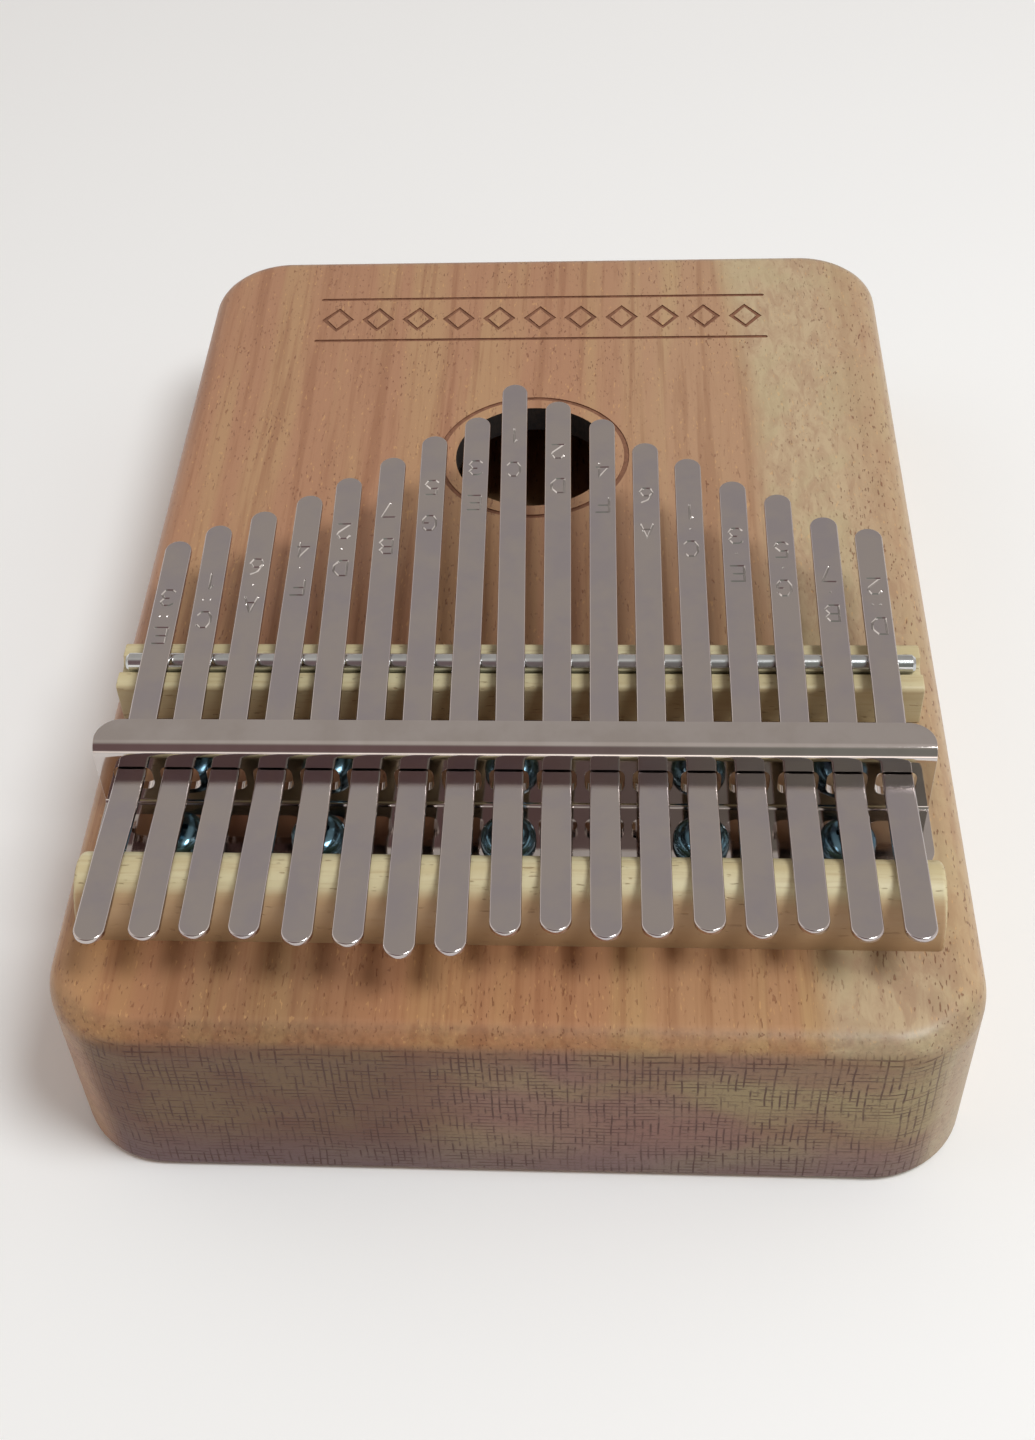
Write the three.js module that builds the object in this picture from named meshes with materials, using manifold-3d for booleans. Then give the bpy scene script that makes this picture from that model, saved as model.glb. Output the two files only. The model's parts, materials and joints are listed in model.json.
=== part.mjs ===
// A 17-key board lamellophone (mbira / kalimba): one hollowed wood block, a rod bridge,
// a folded pressure plate with a slot for every key, a round backrest and 17 steel keys.
// Millimetres. +X right, +Y toward the free ends of the keys, +Z up.
// The origin is at the middle of the underside of the block.

import * as THREE from 'three';
import { mergeVertices } from 'three/addons/utils/BufferGeometryUtils.js';
import Module from 'manifold-3d';

const wasm = await Module();
wasm.setup();

// ---------------------------------------------------------------- driving dimensions

const clearance = 0.3;

// wood block
const blockWidth = 132;
const blockLength = 192;
const blockHeight = 33;
const blockCornerRadius = 14.5;
const blockTopRound = 4.5;
const blockBottomRound = 1;

// hollow, milled from below; the block stays thick under the hardware
const wallThickness = 10;
const deckThickness = 5;
const hollowCornerRadius = 9;
const thickZoneDepth = 14;
const thickZoneEndY = -20;

// round sound hole through the deck, under the tips of the longest keys
const soundHoleRadius = 14;
const soundHoleY = 30;

// back panel, let into a rebate flush with the underside
const panelThickness = 2.5;
const panelRebate = 4;
const backHoleRadius = 6;
const backHoleX = 30;
const backHoleY = 10;

// hardware across the block
const hardwareShiftX = -0.8;
const keyCount = 17;
const keyPitch = 7;

const bridgeLength = 124.6;
const bridgeWidth = 10;
const bridgeHeight = 7.5;
const bridgeY = -31;

const rodLength = 122.4;
const rodRadius = 1.5;
const rodChamfer = 0.5;
const rodCentreAboveDeck = 7.8;

const backrestLength = 121.6;
const backrestWidth = 12.8;
const backrestHeight = 9.2;
const backrestY = -72.9;

// pressure plate: base flange, upright wall with slots, top flange
const plateThickness = 1.5;
const plateLength = 122.6;
const plateBendRadius = 2.2;
const plateWallY = -54.5;
const plateHeight = 13.6;
const plateTopDepth = 5.8;
const plateBaseDepth = 11.6;
const plateCornerRadius = 3.8;
const slotWidth = 5.8;
const slotBottom = 4.5;
const slotTop = 9.4;
const slotCornerRadius = 1.4;

// five pan-head screws, under every third or fourth key
const screwKeys = [2, 5, 9, 13, 16];
const screwY = -61.4;
const screwHeadRadius = 4.1;
const screwHeadHeight = 2.6;
const screwShankRadius = 1.5;
const screwLength = 11;
const crossRecessWidth = 0.9;
const crossRecessLength = 4;
const crossRecessDepth = 1.4;

// keys, left to right
const keyWidth = 4.4;
const keyThickness = 1;
const freeSlope = 0.058;
// length of the sounding part beyond the rod: set by the note that each key plays
const soundingLength = [
  24.2, 27.9, 31.2, 35, 39.3, 44.3, 49.7, 54.5, 62.6,
  58.5, 53.8, 47.6, 43.6, 38, 34.8, 29.4, 26.7,
];
// length of the held part, from the rod back to the tail
const heldLength = [
  56.6, 56, 55.6, 55.5, 56.5, 56.6, 58.4, 57.8, 54.4,
  53.8, 54.9, 54.4, 53.5, 54.3, 53.3, 54.5, 54.4,
];
// how far each key is turned off straight by hand, in degrees, + toward +X
const keyLean = [
  0, -0.9, -0.7, -0.4, -1.1, -1, -1.1, -0.9, -1.4,
  -1, -0.6, -0.4, -0.4, -0.2, 0, 0.1, 0,
];

const deckZ = blockHeight;
const rodTop = rodCentreAboveDeck + rodRadius;
const keyOverRod = rodTop + clearance;
const keyUnderSlot = slotTop - clearance - keyThickness;
const keyOverBackrest = backrestHeight + clearance;

// ---------------------------------------------------------------- materials

function material(name, color, roughness, metalness) {
  const made = new THREE.MeshStandardMaterial({ color, roughness, metalness });
  made.name = name;
  return made;
}

const blockWood = material('mahogany', 0xb98a60, 0.45, 0);
const panelWood = material('panel_wood', 0xc49a6c, 0.55, 0);
const paleWood = material('pale_hardwood', 0xcdbd92, 0.5, 0);
const rodSteel = material('bright_steel', 0xc9cbcc, 0.2, 1);
const plateChrome = material('chrome_plate', 0xb8b2ae, 0.08, 1);
const screwZinc = material('blue_zinc', 0x7d9db0, 0.25, 1);
const keySteel = material('key_steel', 0xa59c98, 0.3, 1);

// ---------------------------------------------------------------- solids

function solid(geometry) {
  const bare = geometry.clone();
  bare.deleteAttribute('normal');
  bare.deleteAttribute('uv');
  const merged = mergeVertices(bare, 1e-4);
  return new wasm.Manifold(new wasm.Mesh({
    numProp: 3,
    vertProperties: new Float32Array(merged.attributes.position.array),
    triVerts: new Uint32Array(merged.index.array),
  }));
}

function meshFrom(name, body, surface) {
  const data = body.getMesh();
  const geometry = new THREE.BufferGeometry();
  geometry.setAttribute('position', new THREE.BufferAttribute(data.vertProperties, 3));
  geometry.setIndex(new THREE.BufferAttribute(data.triVerts, 1));
  geometry.computeVertexNormals();
  const mesh = new THREE.Mesh(geometry, surface);
  mesh.name = name;
  return mesh;
}

function extrude(shape, depth, curveSegments = 6) {
  return new THREE.ExtrudeGeometry(shape, { depth, curveSegments, bevelEnabled: false });
}

function extrudeRounded(shape, depth, round, roundSteps, curveSegments) {
  const geometry = new THREE.ExtrudeGeometry(shape, {
    depth: depth - 2 * round,
    curveSegments,
    bevelEnabled: true,
    bevelThickness: round,
    bevelSize: round,
    bevelOffset: -round,
    bevelSegments: roundSteps,
  });
  return geometry.translate(0, 0, round);
}

function roundedRectangle(width, height, radius) {
  const shape = new THREE.Shape();
  const right = width / 2;
  const top = height / 2;
  shape.absarc(right - radius, top - radius, radius, 0, Math.PI / 2, false);
  shape.absarc(-right + radius, top - radius, radius, Math.PI / 2, Math.PI, false);
  shape.absarc(-right + radius, -top + radius, radius, Math.PI, 1.5 * Math.PI, false);
  shape.absarc(right - radius, -top + radius, radius, 1.5 * Math.PI, 2 * Math.PI, false);
  shape.closePath();
  return shape;
}

function prism(shape, fromZ, toZ, curveSegments = 6) {
  return extrude(shape, toZ - fromZ, curveSegments).translate(0, 0, fromZ);
}

function roundBar(radius, fromZ, toZ, sides) {
  const bar = new THREE.CylinderGeometry(radius, radius, toZ - fromZ, sides);
  return bar.rotateX(Math.PI / 2).translate(0, 0, (fromZ + toZ) / 2);
}

// a section drawn in (Y, Z) run along X, centred on the hardware
function runAcross(section, length, curveSegments = 6) {
  const bar = extrude(section, length, curveSegments);
  bar.rotateX(Math.PI / 2);
  bar.rotateZ(Math.PI / 2);
  return bar.translate(-length / 2 + hardwareShiftX, 0, 0);
}

function keyX(index) {
  return (index - (keyCount - 1) / 2) * keyPitch + hardwareShiftX;
}

function screwX(keyNumber) {
  return keyX(keyNumber - 1);
}

// ---------------------------------------------------------------- wood block and back panel

function block() {
  const plan = roundedRectangle(blockWidth, blockLength, blockCornerRadius);
  const below = 10;
  const rounded = extrudeRounded(plan, blockHeight + below, blockTopRound, 5, 7);
  const eased = extrudeRounded(plan, blockHeight + below, blockBottomRound, 1, 7);
  return solid(rounded.translate(0, 0, -below)).intersect(solid(eased));
}

function hollow() {
  const width = blockWidth - 2 * wallThickness;
  const length = blockLength - 2 * wallThickness;
  const lowTop = blockHeight - thickZoneDepth;
  const highTop = blockHeight - deckThickness;
  const low = solid(prism(roundedRectangle(width, length, hollowCornerRadius), -1, lowTop, 5));
  const highLength = length / 2 - thickZoneEndY;
  const highPlan = roundedRectangle(width, highLength, hollowCornerRadius);
  const high = prism(highPlan, lowTop - 1, highTop, 5);
  high.translate(0, thickZoneEndY + highLength / 2, 0);
  return low.add(solid(high));
}

function bodyShell() {
  const rebateWidth = blockWidth - 2 * (wallThickness - panelRebate);
  const rebateLength = blockLength - 2 * (wallThickness - panelRebate);
  const rebatePlan = roundedRectangle(rebateWidth, rebateLength, hollowCornerRadius + panelRebate);
  let body = block().subtract(hollow());
  body = body.subtract(solid(prism(rebatePlan, -1, panelThickness, 5)));
  const soundHole = roundBar(soundHoleRadius, blockHeight - deckThickness - 1, blockHeight + 1, 48);
  body = body.subtract(solid(soundHole.translate(0, soundHoleY, 0)));
  for (const keyNumber of screwKeys) {
    const pilotBottom = deckZ - screwLength - clearance;
    const pilot = roundBar(screwShankRadius + clearance, pilotBottom, deckZ + 1, 12);
    body = body.subtract(solid(pilot.translate(screwX(keyNumber), screwY, 0)));
  }
  return meshFrom('body_shell', body, blockWood);
}

function backPanel() {
  const inset = 2 * (wallThickness - panelRebate + clearance);
  const plan = roundedRectangle(blockWidth - inset, blockLength - inset, hollowCornerRadius + panelRebate);
  for (const side of [-1, 1]) {
    const hole = new THREE.Path();
    hole.absarc(side * backHoleX, backHoleY, backHoleRadius, 0, 2 * Math.PI, true);
    plan.holes.push(hole);
  }
  return meshFrom('back_panel', solid(prism(plan, 0, panelThickness, 7)), panelWood);
}

// ---------------------------------------------------------------- bridge, rod and backrest

function bridgeBase() {
  const section = new THREE.Shape();
  const grooveRadius = rodRadius + clearance;
  const near = bridgeY - bridgeWidth / 2;
  const far = bridgeY + bridgeWidth / 2;
  const rise = bridgeHeight - rodCentreAboveDeck;
  const grooveHalf = Math.sqrt(grooveRadius ** 2 - rise ** 2);
  const grooveAngle = Math.atan2(rise, grooveHalf);
  const cornerEase = 0.8;
  section.moveTo(near, 0);
  section.lineTo(far, 0);
  section.lineTo(far, bridgeHeight - cornerEase);
  section.lineTo(far - cornerEase, bridgeHeight);
  section.lineTo(bridgeY + grooveHalf, bridgeHeight);
  section.absarc(bridgeY, rodCentreAboveDeck, grooveRadius, grooveAngle, -Math.PI - grooveAngle, true);
  section.lineTo(near + cornerEase, bridgeHeight);
  section.lineTo(near, bridgeHeight - cornerEase);
  section.closePath();
  const bar = runAcross(section, bridgeLength, 8).translate(0, 0, deckZ);
  return meshFrom('bridge_base', solid(bar), paleWood);
}

function saddleRod() {
  const half = rodLength / 2;
  const profile = [
    new THREE.Vector2(0, -half),
    new THREE.Vector2(rodRadius - rodChamfer, -half),
    new THREE.Vector2(rodRadius, -half + rodChamfer),
    new THREE.Vector2(rodRadius, half - rodChamfer),
    new THREE.Vector2(rodRadius - rodChamfer, half),
    new THREE.Vector2(0, half),
  ];
  const rod = new THREE.LatheGeometry(profile, 16).rotateZ(Math.PI / 2);
  rod.translate(hardwareShiftX, bridgeY, deckZ + rodCentreAboveDeck);
  return meshFrom('saddle_rod', solid(rod), rodSteel);
}

function backrest() {
  const section = new THREE.Shape();
  section.absellipse(backrestY, 0, backrestWidth / 2, backrestHeight, 0, Math.PI, false, 0);
  section.closePath();
  const bar = runAcross(section, backrestLength, 14).translate(0, 0, deckZ);
  return meshFrom('backrest', solid(bar), paleWood);
}

// ---------------------------------------------------------------- pressure plate and screws

function plateSection() {
  const outer = plateBendRadius;
  const inner = plateBendRadius - plateThickness;
  const wallFar = plateWallY + plateThickness;
  const topFar = plateWallY + plateTopDepth;
  const baseNear = plateWallY - plateBaseDepth;
  const quarter = Math.PI / 2;
  const section = new THREE.Shape();
  section.moveTo(baseNear, 0);
  section.lineTo(wallFar - outer, 0);
  section.absarc(wallFar - outer, outer, outer, -quarter, 0, false);
  section.lineTo(wallFar, plateHeight - outer);
  section.absarc(wallFar + inner, plateHeight - outer, inner, 2 * quarter, quarter, true);
  section.lineTo(topFar, plateHeight - plateThickness);
  section.lineTo(topFar, plateHeight);
  section.lineTo(plateWallY + outer, plateHeight);
  section.absarc(plateWallY + outer, plateHeight - outer, outer, quarter, 2 * quarter, false);
  section.lineTo(plateWallY, outer);
  section.absarc(plateWallY - inner, outer, inner, 0, -quarter, true);
  section.lineTo(baseNear, plateThickness);
  section.closePath();
  return section;
}

// the plan of the folded plate, with round corners on both flanges
function plateOutline() {
  const depth = plateTopDepth + plateBaseDepth;
  const outline = roundedRectangle(plateLength, depth, plateCornerRadius);
  const middleY = plateWallY + (plateTopDepth - plateBaseDepth) / 2;
  return prism(outline, -1, plateHeight + 1, 6).translate(hardwareShiftX, middleY, 0);
}

function pressurePlate() {
  let plate = solid(runAcross(plateSection(), plateLength, 4)).intersect(solid(plateOutline()));
  const slotHeight = slotTop - slotBottom;
  const slotPlan = roundedRectangle(slotWidth, slotHeight, slotCornerRadius);
  const slotDepth = 3 * plateThickness;
  for (let index = 0; index < keyCount; index += 1) {
    const slot = extrude(slotPlan, slotDepth, 2).translate(0, 0, -slotDepth / 2).rotateX(Math.PI / 2);
    slot.translate(keyX(index), plateWallY + plateThickness / 2, (slotTop + slotBottom) / 2);
    plate = plate.subtract(solid(slot));
  }
  for (const keyNumber of screwKeys) {
    const hole = roundBar(screwShankRadius + clearance, -1, plateThickness + 1, 12);
    plate = plate.subtract(solid(hole.translate(screwX(keyNumber), screwY, 0)));
  }
  return meshFrom('pressure_plate', plate.translate([0, 0, deckZ]), plateChrome);
}

function screw(keyNumber, order) {
  const headBottom = deckZ + plateThickness;
  const headTop = headBottom + screwHeadHeight;
  const tip = headBottom - screwLength;
  const profile = [
    new THREE.Vector2(0, tip),
    new THREE.Vector2(screwShankRadius, tip + 3),
    new THREE.Vector2(screwShankRadius, headBottom),
    new THREE.Vector2(screwHeadRadius, headBottom),
    new THREE.Vector2(screwHeadRadius, headBottom + 0.35 * screwHeadHeight),
    new THREE.Vector2(0.9 * screwHeadRadius, headBottom + 0.7 * screwHeadHeight),
    new THREE.Vector2(0.6 * screwHeadRadius, headBottom + 0.94 * screwHeadHeight),
    new THREE.Vector2(0, headTop),
  ];
  const turned = new THREE.LatheGeometry(profile, 16).rotateX(Math.PI / 2);
  let body = solid(turned);
  for (const turn of [0, Math.PI / 2]) {
    const arm = new THREE.BoxGeometry(crossRecessLength, crossRecessWidth, 2 * crossRecessDepth);
    body = body.subtract(solid(arm.rotateZ(turn).translate(0, 0, headTop)));
  }
  body = body.translate([screwX(keyNumber), screwY, 0]);
  return meshFrom(`screw_${order}`, body, screwZinc);
}

// ---------------------------------------------------------------- keys

// underside of a key above the deck, at a distance along it from the rod
function keyHeight(distance) {
  const slotDistance = plateWallY + plateThickness / 2 - bridgeY;
  const restDistance = backrestY - bridgeY;
  if (distance >= 0) {
    return keyOverRod + freeSlope * distance;
  }
  if (distance >= slotDistance) {
    const share = distance / slotDistance;
    const wave = (1 - Math.cos(Math.PI * share)) / 2;
    return keyOverRod + (keyUnderSlot - keyOverRod) * wave;
  }
  const share = (distance - slotDistance) / (restDistance - slotDistance);
  const rise = keyOverBackrest - keyUnderSlot;
  if (share <= 1) {
    return keyUnderSlot + rise * share * share * (2 - share);
  }
  return keyOverBackrest + (rise * (share - 1)) / 2;
}

// a strip that follows the key's side view between two distances from the rod
function keyStrip(from, to, steps) {
  const strip = new THREE.Shape();
  const stations = [];
  for (let step = 0; step <= steps; step += 1) {
    stations.push(from + ((to - from) * step) / steps);
  }
  stations.forEach((distance, step) => {
    const place = [distance, keyHeight(distance)];
    if (step === 0) {
      strip.moveTo(...place);
    } else {
      strip.lineTo(...place);
    }
  });
  stations.reverse().forEach((distance) => {
    strip.lineTo(distance, keyHeight(distance) + keyThickness);
  });
  strip.closePath();
  const width = keyWidth + 1;
  return extrude(strip, width).rotateX(Math.PI / 2).rotateZ(Math.PI / 2).translate(-width / 2, 0, 0);
}

// the plan of half a key: square at the rod, a half circle at the other end
function keyPlan(length, side) {
  const radius = keyWidth / 2;
  const shape = new THREE.Shape();
  const start = clearance / 2;
  shape.moveTo(radius, start);
  shape.lineTo(radius, length - radius);
  shape.absarc(0, length - radius, radius, 0, Math.PI, false);
  shape.lineTo(-radius, start);
  shape.closePath();
  const height = 30;
  const plan = extrude(shape, height, 8);
  return side > 0 ? plan : plan.rotateZ(Math.PI);
}

function keyPart(name, length, side) {
  const steps = side > 0 ? 1 : 14;
  const from = side > 0 ? 0 : -length;
  const to = side > 0 ? length : 0;
  const body = solid(keyStrip(from, to, steps)).intersect(solid(keyPlan(length, side)));
  return meshFrom(name, body, keySteel);
}

// the key turns on its slot, so its rod line lies a little to one side
function key(index) {
  const number = String(index + 1).padStart(2, '0');
  const group = new THREE.Group();
  const lean = THREE.MathUtils.degToRad(keyLean[index]);
  const slotMiddleY = plateWallY + plateThickness / 2;
  const rodX = keyX(index) + (bridgeY - slotMiddleY) * Math.tan(lean);
  group.position.set(rodX, bridgeY, deckZ);
  group.rotation.z = -lean;
  group.add(keyPart(`key_${number}_tail`, heldLength[index], -1));
  group.add(keyPart(`key_${number}_tongue`, soundingLength[index], 1));
  return group;
}

// ---------------------------------------------------------------- assembly

const mbira = new THREE.Group();
mbira.name = 'mbira';
mbira.add(bodyShell());
mbira.add(backPanel());
mbira.add(bridgeBase());
mbira.add(saddleRod());
mbira.add(pressurePlate());
mbira.add(backrest());
screwKeys.forEach((keyNumber, order) => {
  mbira.add(screw(keyNumber, order + 1));
});
for (let index = 0; index < keyCount; index += 1) {
  mbira.add(key(index));
}

export default mbira;
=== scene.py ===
"""A 17-key board kalimba: varnished block, pale bars, chrome slotted plate and stamped steel keys."""

import json
import math
import bmesh
import bpy
from mathutils import Euler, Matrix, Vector


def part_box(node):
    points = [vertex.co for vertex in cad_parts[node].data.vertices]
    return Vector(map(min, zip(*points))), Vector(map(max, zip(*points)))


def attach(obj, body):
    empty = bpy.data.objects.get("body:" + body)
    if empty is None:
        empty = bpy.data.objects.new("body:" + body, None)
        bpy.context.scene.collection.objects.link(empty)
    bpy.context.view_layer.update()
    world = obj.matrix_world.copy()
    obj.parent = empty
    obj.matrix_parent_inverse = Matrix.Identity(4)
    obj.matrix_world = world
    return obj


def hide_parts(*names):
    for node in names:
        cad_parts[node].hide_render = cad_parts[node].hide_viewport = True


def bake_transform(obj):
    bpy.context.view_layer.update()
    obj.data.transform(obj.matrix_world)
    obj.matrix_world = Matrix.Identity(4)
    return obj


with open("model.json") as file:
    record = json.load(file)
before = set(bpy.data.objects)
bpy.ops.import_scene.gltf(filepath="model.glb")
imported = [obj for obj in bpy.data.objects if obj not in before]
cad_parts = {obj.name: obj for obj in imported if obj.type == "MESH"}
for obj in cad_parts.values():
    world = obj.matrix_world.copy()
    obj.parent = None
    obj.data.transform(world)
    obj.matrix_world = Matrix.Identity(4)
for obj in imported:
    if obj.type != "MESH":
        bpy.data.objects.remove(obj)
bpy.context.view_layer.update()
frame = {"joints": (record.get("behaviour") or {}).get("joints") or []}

MM = 0.001
KEY_COUNT = 17
ROOT = "instrument"
QUARTER = math.pi / 2

block_low, block_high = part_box("body_shell")
plate_low, plate_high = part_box("pressure_plate")
deck_z = block_high.z
gap = 0.3 * MM          # between pieces that would otherwise touch
WELD_DISTANCE = 0.002 * MM


# ------------------------------------------------------------------ mesh helpers

def srgb(red, green, blue):
    """A display colour of 0 to 255 as the linear colour that a shader takes."""
    def linear(value):
        share = value / 255
        return share / 12.92 if share <= 0.04045 else ((share + 0.055) / 1.055) ** 2.4
    return (linear(red), linear(green), linear(blue), 1.0)


def make_object(name, points, faces):
    mesh = bpy.data.meshes.new(name)
    mesh.from_pydata([tuple(p) for p in points], [], faces)
    mesh.validate()
    mesh.update()
    made = bpy.data.objects.new(name, mesh)
    bpy.context.scene.collection.objects.link(made)
    return made


def settle(piece):
    """Turns a piece and its modifiers into one plain mesh."""
    graph = bpy.context.evaluated_depsgraph_get()
    mesh = bpy.data.meshes.new_from_object(
        piece.evaluated_get(graph), preserve_all_data_layers=True, depsgraph=graph)
    piece.modifiers.clear()
    piece.data = mesh
    return piece


def weld(piece):
    """Merges the points that cuts leave on top of each other, and drops faces with no area."""
    mesh = bmesh.new()
    mesh.from_mesh(piece.data)
    bmesh.ops.remove_doubles(mesh, verts=mesh.verts, dist=WELD_DISTANCE)
    bmesh.ops.dissolve_degenerate(mesh, edges=mesh.edges, dist=WELD_DISTANCE)
    mesh.to_mesh(piece.data)
    mesh.free()
    return piece


def cut(piece, tool, own_overlaps=False):
    """Cuts piece with tool and removes the tool. The cut faces take the tool's material."""
    step = piece.modifiers.new("cut", "BOOLEAN")
    step.operation = "DIFFERENCE"
    step.solver = "EXACT"
    step.use_self = own_overlaps
    step.material_mode = "TRANSFER"
    step.object = tool
    settle(piece)
    bpy.data.objects.remove(tool)
    return piece


def join(name, parts):
    """One mesh object made of several, each keeping its first material."""
    points = []
    faces = []
    slots = []
    materials = []
    for part in parts:
        start = len(points)
        points += [part.matrix_world @ v.co for v in part.data.vertices]
        own = part.data.materials[0] if part.data.materials else None
        if own not in materials:
            materials.append(own)
        for polygon in part.data.polygons:
            faces.append([start + i for i in polygon.vertices])
            slots.append(materials.index(own))
        bpy.data.objects.remove(part)
    made = make_object(name, points, faces)
    for material in materials:
        made.data.materials.append(material)
    made.data.polygons.foreach_set("material_index", slots)
    return made


def ease_edges(piece, width, steps=2, sharp_degrees=40):
    """Rounds the hard edges of a piece."""
    step = piece.modifiers.new("bevel", "BEVEL")
    step.width = width
    step.segments = steps
    step.limit_method = "ANGLE"
    step.angle_limit = math.radians(sharp_degrees)
    step.use_clamp_overlap = True
    return settle(piece)


def smooth(piece, sharp_degrees=32):
    """Shades a piece smoothly, and keeps its flat faces flat and its hard edges hard."""
    piece.data.polygons.foreach_set("use_smooth", [True] * len(piece.data.polygons))
    piece.data.set_sharp_from_angle(angle=math.radians(sharp_degrees))
    step = piece.modifiers.new("normals", "WEIGHTED_NORMAL")
    step.keep_sharp = True
    step.weight = 80
    return settle(piece)


def paint(piece, material):
    piece.data.materials.clear()
    piece.data.materials.append(material)
    return piece


def place_piece(piece, body, replaced):
    """Ties a finished piece to its body, and hides the CAD nodes it stands for."""
    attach(piece, body)
    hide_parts(*replaced)


# ------------------------------------------------------------------ outlines and solids

def arc(centre_x, centre_y, radius, start, end, steps):
    made = []
    for step in range(steps + 1):
        angle = start + (end - start) * step / steps
        made.append((centre_x + radius * math.cos(angle), centre_y + radius * math.sin(angle)))
    return made


def circle(centre_x, centre_y, radius, sides):
    return arc(centre_x, centre_y, radius, 0, 2 * math.pi * (sides - 1) / sides, sides - 1)


def round_rectangle(width, length, radius, steps=12):
    right = width / 2 - radius
    top = length / 2 - radius
    made = []
    for turn, (x, y) in enumerate([(right, top), (-right, top), (-right, -top), (right, -top)]):
        made += arc(x, y, radius, turn * QUARTER, (turn + 1) * QUARTER, steps)
    return made


def loft(name, rings):
    """A closed solid through rings of points, all with the same count, with a cap at each end."""
    count = len(rings[0])
    points = [p for ring in rings for p in ring]
    faces = [list(range(count))[::-1]]
    for level in range(len(rings) - 1):
        low = level * count
        for i in range(count):
            j = (i + 1) % count
            faces.append([low + i, low + j, low + count + j, low + count + i])
    faces.append([(len(rings) - 1) * count + i for i in range(count)])
    return make_object(name, points, faces)


def prism(name, outline, low, high, shift=(0, 0)):
    return loft(name, [[(x + shift[0], y + shift[1], z) for x, y in outline] for z in (low, high)])


def rounded_block(name, width, length, low, high, corner, top_round, low_round, steps=16, levels=8):
    """A block with round corners in plan and rounded long edges above and below."""
    rings = []

    def add_ring(inset, z):
        plan = round_rectangle(width - 2 * inset, length - 2 * inset, corner - inset, steps)
        rings.append([(x, y, z) for x, y in plan])

    for level in range(levels + 1):
        angle = QUARTER * level / levels
        add_ring(low_round * (1 - math.sin(angle)), low + low_round * (1 - math.cos(angle)))
    for level in range(levels + 1):
        angle = QUARTER * level / levels
        add_ring(top_round * (1 - math.cos(angle)), high - top_round * (1 - math.sin(angle)))
    return loft(name, rings)


def run_across(name, section, left, right, end_round=0.0, steps=4):
    """A section of (y, z) points run along X. Its ends are rounded toward the section's middle."""
    middle_y = sum(y for y, z in section) / len(section)
    middle_z = sum(z for y, z in section) / len(section)

    def ring(x, inset):
        made = []
        for y, z in section:
            away = Vector((y - middle_y, z - middle_z))
            share = max(0.0, 1 - inset / away.length)
            made.append((x, middle_y + away.x * share, middle_z + away.y * share))
        return made

    if not end_round:
        return loft(name, [ring(left, 0), ring(right, 0)])
    turns = [QUARTER * step / steps for step in range(steps + 1)]
    insets = [(end_round * (1 - math.cos(turn)), end_round * (1 - math.sin(turn))) for turn in turns]
    rings = [ring(left + along, inset) for along, inset in insets]
    rings += [ring(right - along, inset) for along, inset in reversed(insets)]
    return loft(name, rings)


def lathe(name, profile, sides, centre):
    """A round solid about an upright axis. The profile's (radius, z) points run from axis to axis."""
    inner = profile[1:-1]
    points = [(centre[0], centre[1], profile[0][1])]
    for radius, z in inner:
        for side in range(sides):
            angle = 2 * math.pi * side / sides
            points.append((centre[0] + radius * math.cos(angle), centre[1] + radius * math.sin(angle), z))
    points.append((centre[0], centre[1], profile[-1][1]))
    faces = [[0, 1 + (s + 1) % sides, 1 + s] for s in range(sides)]
    for level in range(len(inner) - 1):
        low = 1 + level * sides
        for s in range(sides):
            t = (s + 1) % sides
            faces.append([low + s, low + t, low + sides + t, low + sides + s])
    last = len(points) - 1
    low = 1 + (len(inner) - 1) * sides
    faces += [[last, low + s, low + (s + 1) % sides] for s in range(sides)]
    return make_object(name, points, faces)


# ------------------------------------------------------------------ material building

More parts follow.
